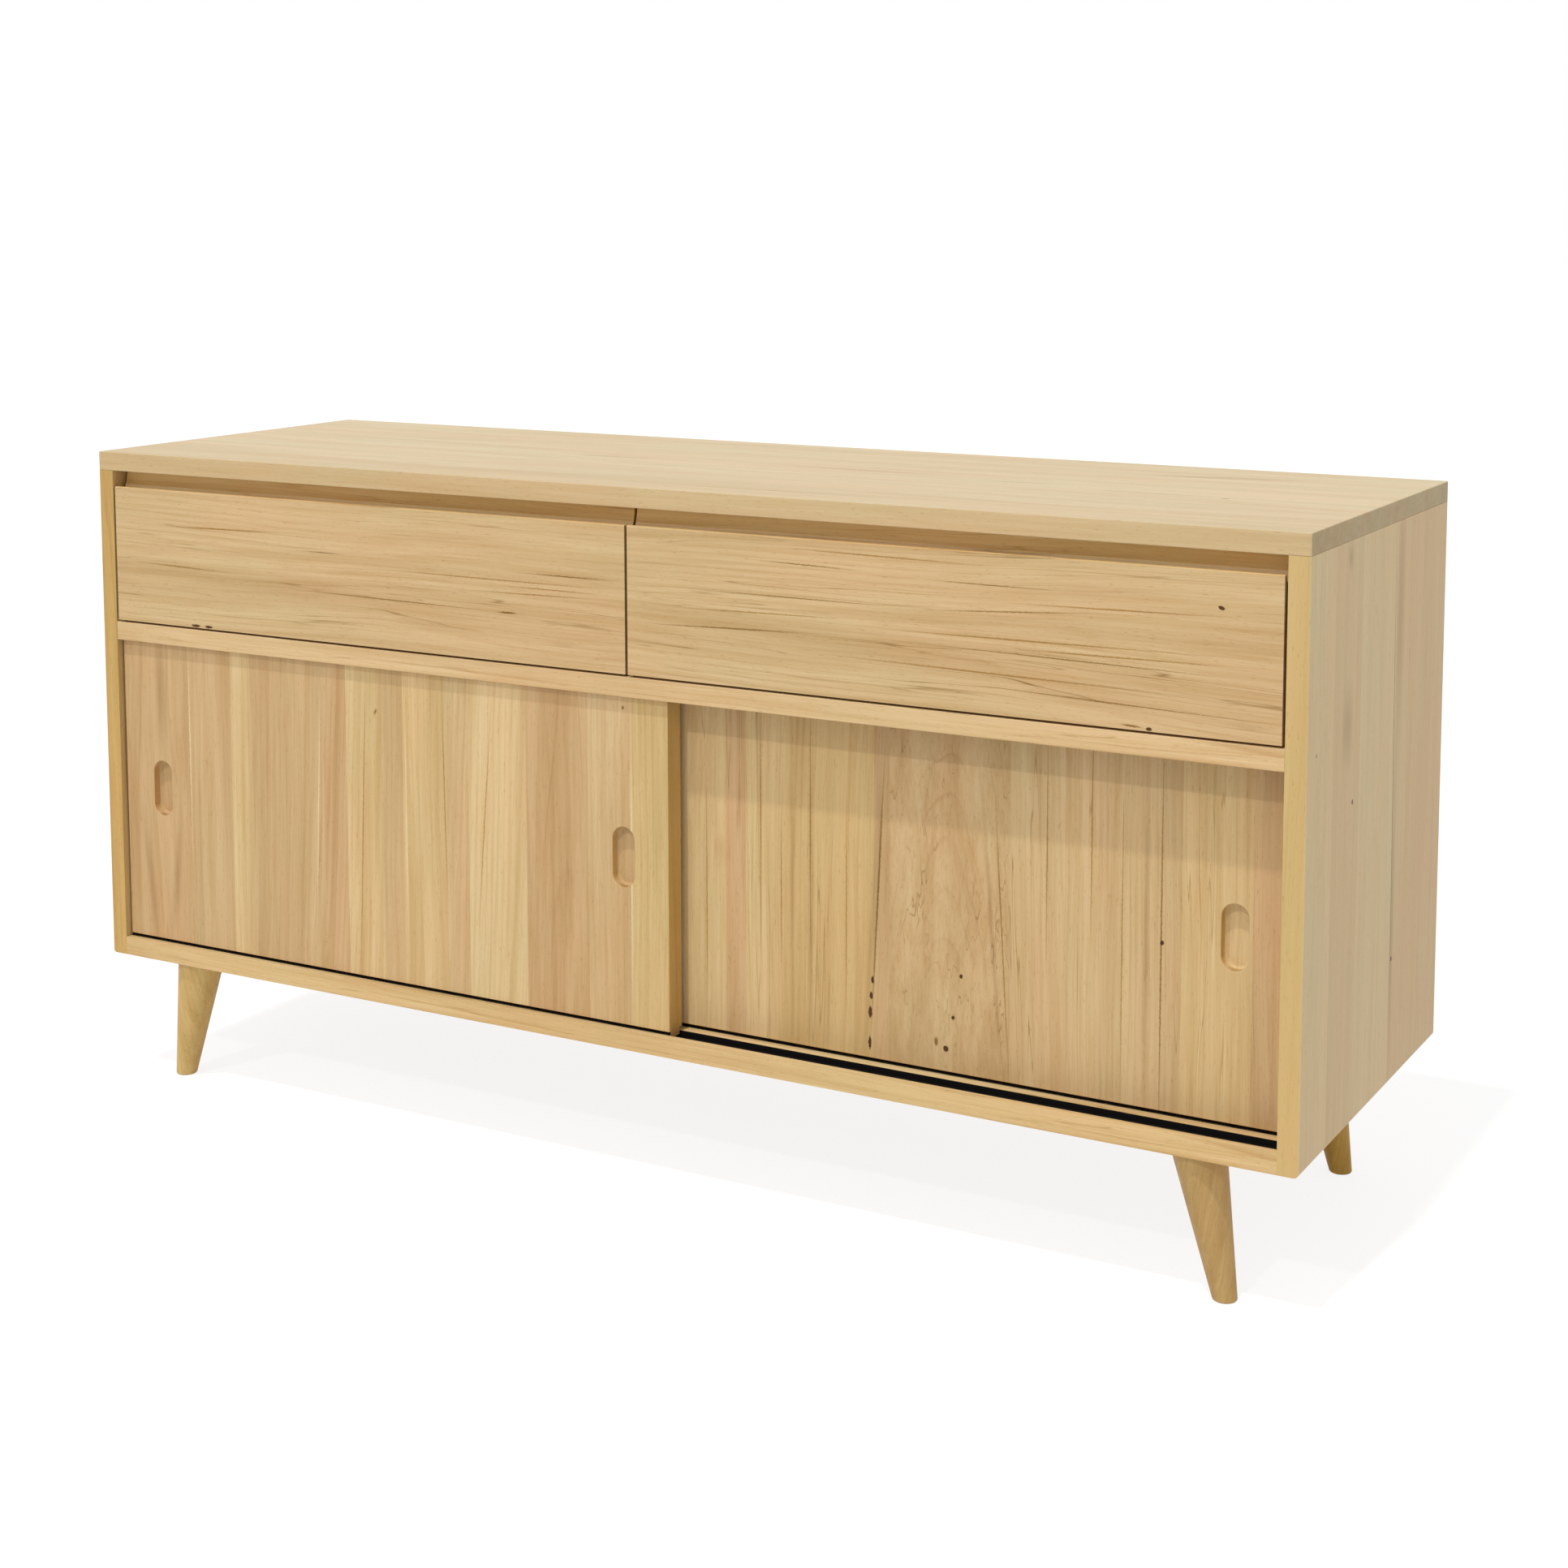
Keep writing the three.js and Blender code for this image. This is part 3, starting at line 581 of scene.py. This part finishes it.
RIGHT_DRAWER_MARKS = (
    # Painted light: a warm lightening along the grip strip under the top, which lies in shade.
    ("grip_light", 733, 370, 10, 4000),
    ("knot", 688.5, 664, 2.2, 4.4, -0.3),
    ("knot", 565.5, 593, 2.2, 4.0),
    ("fleck", 567, 575, 1.6, 14, -0.05),
    ("vein", 697, 220, 1.1, 75, -0.02),
    ("vein", 662, 190, 1.0, 150),
    ("vein", 667, 445, 1.0, 115, 0.06),
    ("thread", 643, 160, 1.2, 140, 0.02),
    ("thread", 678, 560, 1.2, 150, 0.02),
    ("thread", 640, 480, 1.2, 240, 0.01),
    ("thread", 632, 560, 1.4, 160, 0.012),
    ("thread", 604, 430, 1.4, 260, -0.015),
    ("thread", 712, 300, 1.4, 150, -0.01),
    ("vein", 624, 130, 1.3, 130, 0.03),
    ("vein", 625, 510, 1.0, 220, -0.015),
    ("vein", 587, 560, 1.0, 190, -0.028),
    ("vein", 692, 420, 1.0, 80),
)
TOP_MARKS = (
    ("shade", 145, 530, 17, 140, 0.18),
    ("shade", 2, 345, 5, 60, 0.12),
    ("shade", -22, 500, 7, 130),
    ("fleck", -29, 592, 3, 7),
    ("shade", 25, 150, 8, 150),
    ("shade", 10, -180, 8, 90),
    ("shade", -190, 170, 5, 230),
)
# The right side's boards are cooler and greyer than the front's: painted light, for the cooler light on this
# side.
RIGHT_SIDE = (
    (78, "ash", "plain", 0),
    (87, "fog", "rift", 0),
    (120, "ash", "plain", 0),
    (47, "fog", "quarter", 0),
    (138, "dusk", "plain", 0),
)
RIGHT_SIDE_MARKS = (
    ("knot", -91, 482, 2.8, 3.0),
    ("knot", 58, 284, 2.8, 3.0),
    ("fleck", -208, 551, 2.6, 3.0),
    ("vein", 50, 460, 1.6, 320, -0.029),
    ("shade", 62, 650, 23, 220),
    ("shade", 57, 330, 10, 260),
    ("shade", -112, 727, 13, 20),
    ("shade", -112, 560, 26, 60),
)
DECK = ((150, "ivory", "quarter", 0.004), (130, "wheat", "quarter", 0), (190, "straw", "rift", 0))
BOTTOM = ((150, "cream", "quarter", 0.004), (130, "wheat", "quarter", 0), (190, "straw", "rift", 0))

# Each leg is turned from one wide blank: its tint, and how far its grain leans with its splay
LEG_BLANK = 400
LEGS = {
    # The front left leg's lighter honey tint is painted light: it lifts the shade on its downward-facing
    # side.
    "front_left": ("honey", -0.2),
    "front_right": ("olive", 0.2),
    "rear_left": ("olive", -0.2),
    "rear_right": ("tawny", 0.2),
}


def finish_wood():
    low, high = (corner[1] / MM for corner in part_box("top_panel"))
    top_boards = picked_boards(high - low, 7, tints=("bone", "linen"))
    left_boards = picked_boards(high - low, 3, tints=("amber", "honey"))
    hardwood("top_panel", "X", "Y", top_boards, marks=TOP_MARKS, rings=0.1, veins=0.1, contrast=0.6)
    hardwood("bottom_panel", "X", "Y", BOTTOM, rings=0.5, veins=0.6)
    hardwood("drawer_deck", "X", "Y", DECK, rings=0.5, veins=0.6)
    looks = {"marks": RIGHT_SIDE_MARKS, "edge": WARM_EDGE, "rings": 0.15, "veins": 0.1, "contrast": 0.35}
    hardwood("right_side_panel", "Z", "Y", RIGHT_SIDE, **looks)
    hardwood("left_side_panel", "Z", "Y", left_boards, low_face=True, edge=WARM_EDGE, rings=0.3)
    hardwood("drawer_divider", "Z", "Y")
    hardwood("lower_divider", "Z", "Y")
    for end in ("left", "right"):
        hardwood(f"{end}_shelf", "X", "Y")
        for part, along in (("box_front", "X"), ("box_back", "X"), ("left_side", "Y"), ("right_side", "Y")):
            hardwood(f"{end}_drawer_{part}", along, "Z")
    fronts = (
        ("left_drawer_front", "X", "Z", LEFT_DRAWER, LEFT_DRAWER_MARKS, EDGE_GRAIN, 0.4, 0.8),
        ("right_drawer_front", "X", "Z", RIGHT_DRAWER, RIGHT_DRAWER_MARKS, EDGE_GRAIN, 0.5, 1.0),
        ("front_door_panel", "Z", "X", FRONT_DOOR, FRONT_DOOR_MARKS, WARM_EDGE, 0.4, 0.1),
        ("rear_door_panel", "Z", "X", REAR_DOOR, REAR_DOOR_MARKS, WARM_EDGE, 0.3, 0.8),
    )
    for name, along, across, boards, marks, edge, rings, veins in fronts:
        looks = {"marks": marks, "edge": edge, "rings": rings, "veins": veins}
        hardwood(name, along, across, boards, low_face=True, **looks)
    for corner, (tint, lean) in LEGS.items():
        hardwood(f"{corner}_leg", "Z", "X", ((LEG_BLANK, tint, "rift", lean),), rings=0.3, veins=0.1)


# Plywood, steel, nylon and black plastic

# How many waves each pattern has per millimetre along X, Y and Z
PLY_FIGURE = (0.004, 0.02, 0.02)
PLY_FIBRES = (0.02, 0.6, 0.6)
ZINC_CLOUDS = (0.12, 0.12, 0.12)
NYLON_GRAIN = (1.5, 1.5, 1.5)
PLASTIC_LINES = (0.004, 0.9, 0.9)
PILE_TUFTS = (0.8, 0.8, 0.1)

# Nearly all values of a noise lie between these.
NOISE_REACH = {"From Min": 0.3, "From Max": 0.7}

PLY_TINTS = ((0.3, "#DFC79D"), (0.48, "#D0B68A"), (0.6, "#DCC498"))
PLY_FIBRE_BROWN = "#D9C09A"
PLY_FIBRES_MOST = 0.4
ZINC_TINTS = ((0.35, "#B9BDC1"), (0.65, "#C9CBCB"))
ZINC_GLOSS = {"To Min": 0.28, "To Max": 0.42}
NYLON_TINTS = ((0.3, "#E6E3DA"), (0.7, "#EEECE5"))
BLACK = "#0C0A09"
PLASTIC_GLOSS = {"To Min": 0.55, "To Max": 0.7}
# The pile's near-black tints are painted shade, for the gaps under the doors.
PILE_TINTS = ((0.35, "#050404"), (0.65, "#12100E"))


def waves(tree, per_millimetre, **settings):
    """Noise with so many waves per millimetre of the resting cabinet along each axis."""
    where = add(tree, "ShaderNodeTexCoord").outputs["Object"]
    scaled = add(tree, "ShaderNodeVectorMath", {0: where, 1: Vector(per_millimetre) / MM}, **TIMES)
    return add(tree, "ShaderNodeTexNoise", {"Vector": scaled, "Scale": 1, "Detail": 2} | settings)


def plywood():
    """Birch plywood, rotary cut and sanded: pale with broad soft figure."""
    material, tree = new_material("sanded_birch_plywood")
    broad = waves(tree, PLY_FIGURE, Detail=3, Distortion=1.5)
    figure = add(tree, "ShaderNodeValToRGB", {0: broad}, stops=PLY_TINTS)
    fibres = waves(tree, PLY_FIBRES)
    share = add(tree, "ShaderNodeMapRange", {0: fibres, "To Max": PLY_FIBRES_MOST} | NOISE_REACH)
    colour = layered(tree, figure, [("MULTIPLY", share, PLY_FIBRE_BROWN)])
    bump = add(tree, "ShaderNodeBump", {"Height": fibres, "Strength": 0.2, "Distance": 0.1 * MM})
    finish_surface(tree, {"Base Color": colour, "Normal": bump, "Roughness": 0.65, "IOR": 1.45})
    return material


def zinc_plated_steel():
    """Bright zinc over rolled steel: cool grey, with faint cloudy passivation."""
    material, tree = new_material("zinc_plated_steel")
    clouds = waves(tree, ZINC_CLOUDS, Detail=3)
    gloss = add(tree, "ShaderNodeMapRange", {0: clouds} | NOISE_REACH | ZINC_GLOSS)
    tone = add(tree, "ShaderNodeValToRGB", {0: clouds}, stops=ZINC_TINTS)
    finish_surface(tree, {"Base Color": tone, "Roughness": gloss, "Metallic": 1})
    return material


def moulded_nylon():
    """Natural nylon, moulded: milky white with a fine eggshell texture."""
    material, tree = new_material("moulded_nylon")
    grain = waves(tree, NYLON_GRAIN)
    bump = add(tree, "ShaderNodeBump", {"Height": grain, "Strength": 0.15, "Distance": 0.05 * MM})
    tone = add(tree, "ShaderNodeValToRGB", {0: grain}, stops=NYLON_TINTS)
    finish_surface(tree, {"Base Color": tone, "Normal": bump, "Roughness": 0.45, "IOR": 1.53})
    return material


def black_plastic():
    """Extruded black plastic: nearly black and dull, with fine lines drawn along it."""
    material, tree = new_material("extruded_black_plastic")
    gloss = add(tree, "ShaderNodeMapRange", {0: waves(tree, PLASTIC_LINES)} | NOISE_REACH | PLASTIC_GLOSS)
    finish_surface(tree, {"Base Color": BLACK, "Roughness": gloss, "Specular IOR Level": 0.15})
    return material


def black_pile():
    """Dense black nylon pile, woven into a strip: no sheen at all, and darker between its tufts. It
    paints the shade in the gap under each door.
    """
    material, tree = new_material("black_nylon_pile")
    tone = add(tree, "ShaderNodeValToRGB", {0: waves(tree, PILE_TUFTS)}, stops=PILE_TINTS)
    finish_surface(tree, {"Base Color": tone, "Roughness": 0.95, "Specular IOR Level": 0.05})
    return material


def finish_fittings(steel):
    ply, nylon, black = plywood(), moulded_nylon(), black_plastic()
    for name in nodes:
        if name == "back_panel" or name.endswith("_bottom"):
            dress(name, ply)
        elif name.endswith(("_pin", "_rail", "_slide", "_bolt")):
            dress(name, steel)
        elif name.endswith("_glide"):
            dress(name, nylon)
        elif name.endswith("_track"):
            dress(name, black)


# Screws, and black seals that paint the shade under the doors

# The facets round a screw's head, and its radius on the back panel and on a drawer's front. Screws
# stand this far in from the back panel's edges, in these columns and levels on it, and at these
# offsets from the middle of a drawer's box front.
SCREW_FACETS = 48
BACK_SCREW = 3.2
BACK_SCREW_INSET = 4.0
BACK_SCREW_COLUMNS = (-640, -384, -128, 128, 384, 640)
BACK_SCREW_LEVELS = (260, 457, 654)
DECK_SCREW_COLUMNS = (-486, -243, 243, 486)
FRONT_SCREW = 4.0
FRONT_SCREW_OFFSETS = ((-230, -30), (-230, 30), (230, -30), (230, 30))

# A screw head's rings from its seat up, then the outline of its cross and the cross's floor, each as
# a share of the radius or of the cross, and the height as a share of the radius
HEAD_RINGS = ((1.0, 0.0), (1.0, 0.1), (0.93, 0.24), (0.72, 0.36))
CROSS_RINGS = ((1.0, 0.4), (0.75, 0.1))
CROSS_ARM = 0.6
CROSS_HALF = 0.14

# Keeps a direction along the cross from being divided by nothing
SLIVER = 0.01

# The doors' faces stop this far above the bottom panel.
DOOR_GAP = 3.8

# A black seal's pile stands over the floor by its play and, from tuft to tuft, by up to its hem. The
# seal is painted shade: a black strip that darkens the gap under a door, where there is only shade.
SEAL_THICKNESS = 1.3
SEAL_PLAY = 0.3
SEAL_HEM = 0.25
TUFT_SPACING = 9.0

# The seal's outline from its face back, each a share of its thickness: the pile's rounded foot, with
# its rise over the play, and the band that holds the pile, with its drop from the door
SEAL_FOOT = ((0.15, 0.4), (0.5, 0), (0.85, 0.4))
SEAL_BAND = ((1, 0.8), (1, 0), (0, 0), (0, 0.8))


def lofted(name, rings, material):
    """A closed mesh through rings of equally many corners in millimetres, with both ends capped."""
    count = len(rings[0])
    corners = [Vector(corner) * MM for ring in rings for corner in ring]
    faces = [tuple(range(count))[::-1], tuple(range(len(corners) - count, len(corners)))]
    for row in range(len(rings) - 1):
        for step in range(count):
            near = row * count + step
            far = row * count + (step + 1) % count
            faces.append((near, far, far + count, near + count))
    mesh = bpy.data.meshes.new(name)
    mesh.from_pydata(corners, [], faces)
    mesh.shade_smooth()
    mesh.set_sharp_from_angle(angle=FOLD)
    mesh.materials.append(material)
    return mesh


def new_piece(name, mesh, body, place=Matrix()):
    """An added piece that rides on a body."""
    piece = bpy.data.objects.new(name, mesh)
    bpy.context.scene.collection.objects.link(piece)
    piece.matrix_world = place
    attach(piece, body)


def pan_head(radius, steel):
    """A domed screw head with a cross recess, seated at its origin and facing +Z."""

    def cross(turn):
        """How far the outline of the cross lies from its middle in a direction."""
        along, aside = abs(math.cos(turn)), abs(math.sin(turn))
        bars = ((along, aside), (aside, along))
        reaches = [(CROSS_ARM / max(long, SLIVER), CROSS_HALF / max(short, SLIVER)) for long, short in bars]
        return max(min(reach) for reach in reaches)

    turns = [math.tau * step / SCREW_FACETS for step in range(SCREW_FACETS)]
    rings = [[(share, rise, turn) for turn in turns] for share, rise in HEAD_RINGS]
    rings += [[(share * cross(turn), rise, turn) for turn in turns] for share, rise in CROSS_RINGS]
    placed = [[(r * math.cos(turn), r * math.sin(turn), rise) for r, rise, turn in ring] for ring in rings]
    return lofted("pan_head", [[Vector(corner) * radius for corner in ring] for ring in placed], steel)


def add_screws(steel):
    """Screws that hold the back panel, and those that hold each drawer front from inside its box."""
    facing_back = Euler((math.radians(-90), 0, 0)).to_matrix().to_4x4()

    def drive(names, head, body, places):
        for number, place in enumerate(places, 1):
            new_piece(f"{names}_{number}", head, body, Matrix.Translation(place * MM) @ facing_back)

    low, high = (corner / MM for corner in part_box("back_panel"))
    deck = sum(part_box("drawer_deck"), Vector()).z / 2 / MM
    rows = (low.z + BACK_SCREW_INSET, high.z - BACK_SCREW_INSET)
    columns = (low.x + BACK_SCREW_INSET, 0, high.x - BACK_SCREW_INSET)
    spots = [(x, z) for x in BACK_SCREW_COLUMNS for z in rows]
    spots += [(x, z) for x in columns for z in BACK_SCREW_LEVELS]
    spots += [(x, deck) for x in DECK_SCREW_COLUMNS]
    places = [Vector((x, high.y, z)) for x, z in spots]
    drive("back_panel_screw", pan_head(BACK_SCREW, steel), "carcass", places)

    head = pan_head(FRONT_SCREW, steel)
    for end in ("left", "right"):
        low, high = (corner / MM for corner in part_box(f"{end}_drawer_box_front"))
        middle = (low + high) / 2
        places = [Vector((middle.x + x, high.y, middle.z + z)) for x, z in FRONT_SCREW_OFFSETS]
        drive(f"{end}_drawer_front_screw", head, f"{end}_drawer", places)


def add_shadow_seals():
    """A strip of black pile under the foot of each door, in front of its tongue: painted shade that
    darkens the gap under the door.
    """
    pile = black_pile()
    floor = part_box("bottom_panel")[1].z / MM
    root = floor + DOOR_GAP
    for door in ("front_door", "rear_door"):
        low, high = (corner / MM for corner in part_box(f"{door}_panel"))
        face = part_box(f"{door}_lower_track")[0].y / MM
        rng = random.Random(door)
        spaces = round((high.x - low.x) / TUFT_SPACING)
        rings = []
        for tuft in range(spaces + 1):
            x = low.x + (high.x - low.x) * tuft / spaces
            foot = floor + SEAL_PLAY + rng.uniform(0, SEAL_HEM)
            outline = [(share, foot + rise) for share, rise in SEAL_FOOT]
            outline += [(share, root - drop) for share, drop in SEAL_BAND]
            rings.append([(x, face + share * SEAL_THICKNESS, z) for share, z in outline])
        mesh = lofted(f"{door}_dust_seal", rings, pile)
        new_piece(f"{door}_dust_seal", mesh, door)


# Edges

# How wide sandpaper leaves the arris of a board, and that of a drawer's thinner boards
ARRIS = 0.7
FINE_ARRIS = 0.35

# Corners closer than this become one, and so do faces that meet at less than this angle.
WELD = 0.01
FLAT = math.radians(0.5)


def smooth_by_angle():
    """A modifier tree that welds a piece's corners and shades it smooth up to its sharp edges."""
    sockets = {"Geometry": "Geometry"}
    tree, given = new_group("shade_by_angle", sockets, sockets, kind="GeometryNodeTree")
    inputs = {"Geometry": given["Geometry"], "Distance": WELD * MM}
    welded = add(tree, "GeometryNodeMergeByDistance", inputs)
    bare = add(tree, "GeometryNodeRemoveAttribute", {"Geometry": welded, "Name": "custom_normal"})
    smooth = add(tree, "GeometryNodeSetShadeSmooth", {"Geometry": bare, "Shade Smooth": True}, domain="FACE")
    angle = add(tree, "GeometryNodeInputMeshEdgeAngle").outputs["Unsigned Angle"]
    folded = add(tree, "FunctionNodeCompare", {0: angle, 1: FOLD}, operation="GREATER_THAN")
    inputs = {"Geometry": smooth, "Selection": folded, "Shade Smooth": False}
    creased = add(tree, "GeometryNodeSetShadeSmooth", inputs, domain="EDGE")
    add(tree, "NodeGroupOutput", {0: creased})
    return tree


def ease_edges():
    """Takes the sharpness off every board, as sandpaper does, and rounds the shading of turned parts."""
    shading = smooth_by_angle()
    for name, piece in nodes.items():
        smooth = piece.modifiers.new("smooth_by_angle", "NODES")
        smooth.node_group = shading
        flat = piece.modifiers.new("flat_faces", "DECIMATE")
        flat.decimate_type = "DISSOLVE"
        flat.angle_limit = FLAT
        if "eucalypt" in piece.active_material.name:
            bevel = piece.modifiers.new("arris", "BEVEL")
            bevel.width = (FINE_ARRIS if "_drawer_" in name else ARRIS) * MM
            bevel.segments = 2
            bevel.limit_method = "ANGLE"
            bevel.angle_limit = FOLD
        weighted = piece.modifiers.new("even_shading", "WEIGHTED_NORMAL")
        weighted.keep_sharp = True


# Stage and light

WHITE = "#FFFFFF"
SKY_STRENGTH = 0.62

# The floor lights the cabinet in its true colour. Seen directly, it is a grey that takes the shadow,
# with a glow that lifts it to white.
FLOOR_REACH = 30000.0
FLOOR_TRUE = "#E9E7E3"
FLOOR_SEEN = "#808080"
FLOOR_GLOW = 0.84

# Distant ceiling lights: how high each stands over the horizon in degrees, and how strong it is. They
# are in front of the cabinet and so many degrees to its left, and look this wide from it.
CEILING_LIGHTS = {"low_ceiling_light": (44, 0.6), "high_ceiling_light": (69, 1.25)}
LIGHT_FROM_LEFT = 6
LIGHT_WIDTH = 1.8


def seen_directly(tree):
    """1 for camera, glossy and transmission rays, and 0 for the light that falls on the cabinet."""
    path = add(tree, "ShaderNodeLightPath").outputs
    seen = path["Is Camera Ray"]
    for ray in ("Is Glossy Ray", "Is Transmission Ray"):
        seen = add(tree, "ShaderNodeMath", {0: seen, 1: path[ray]}, operation="MAXIMUM")
    return seen


def lay_floor():
    """A painted studio floor, which shows white and darkens where the cabinet shades it."""
    mesh = bpy.data.meshes.new("floor")
    reach = FLOOR_REACH * MM
    corners = [(-reach, -reach, 0), (reach, -reach, 0), (reach, reach, 0), (-reach, reach, 0)]
    mesh.from_pydata(corners, [], [(0, 1, 2, 3)])
    floor = bpy.data.objects.new("floor", mesh)
    bpy.context.scene.collection.objects.link(floor)

    material, tree = new_material("painted_studio_floor")
    true = add(tree, "ShaderNodeBsdfDiffuse", {"Color": FLOOR_TRUE})
    dim = add(tree, "ShaderNodeBsdfDiffuse", {"Color": FLOOR_SEEN})
    glow = add(tree, "ShaderNodeEmission", {"Color": WHITE, "Strength": FLOOR_GLOW})
    seen = add(tree, "ShaderNodeAddShader", {0: dim, 1: glow})
    mixed = add(tree, "ShaderNodeMixShader", {0: seen_directly(tree), 1: true, 2: seen})
    add(tree, "ShaderNodeOutputMaterial", {"Surface": mixed})
    mesh.materials.append(material)


def light_studio():
    """Soft light from a white surround, and the ceiling lights that cast the shadows."""
    world = bpy.data.worlds.new("studio")
    world.use_nodes = True
    world.node_tree.nodes.clear()
    tree = world.node_tree
    soft = add(tree, "ShaderNodeBackground", {"Color": WHITE, "Strength": SKY_STRENGTH})
    white = add(tree, "ShaderNodeBackground", {"Color": WHITE, "Strength": 1})
    mixed = add(tree, "ShaderNodeMixShader", {0: seen_directly(tree), 1: soft, 2: white})
    add(tree, "ShaderNodeOutputWorld", {"Surface": mixed})
    bpy.context.scene.world = world

    for name, (height, strength) in CEILING_LIGHTS.items():
        lamp = bpy.data.lights.new(name, "SUN")
        lamp.energy = strength
        lamp.angle = math.radians(LIGHT_WIDTH)
        light = bpy.data.objects.new(name, lamp)
        light.rotation_euler = Euler((math.radians(90 - height), 0, math.radians(-LIGHT_FROM_LEFT)))
        bpy.context.scene.collection.objects.link(light)


place_camera()
finish_wood()
steel = zinc_plated_steel()
finish_fittings(steel)
add_screws(steel)
add_shadow_seals()
ease_edges()
lay_floor()
light_studio()
bpy.context.scene.view_settings.view_transform = "Standard"
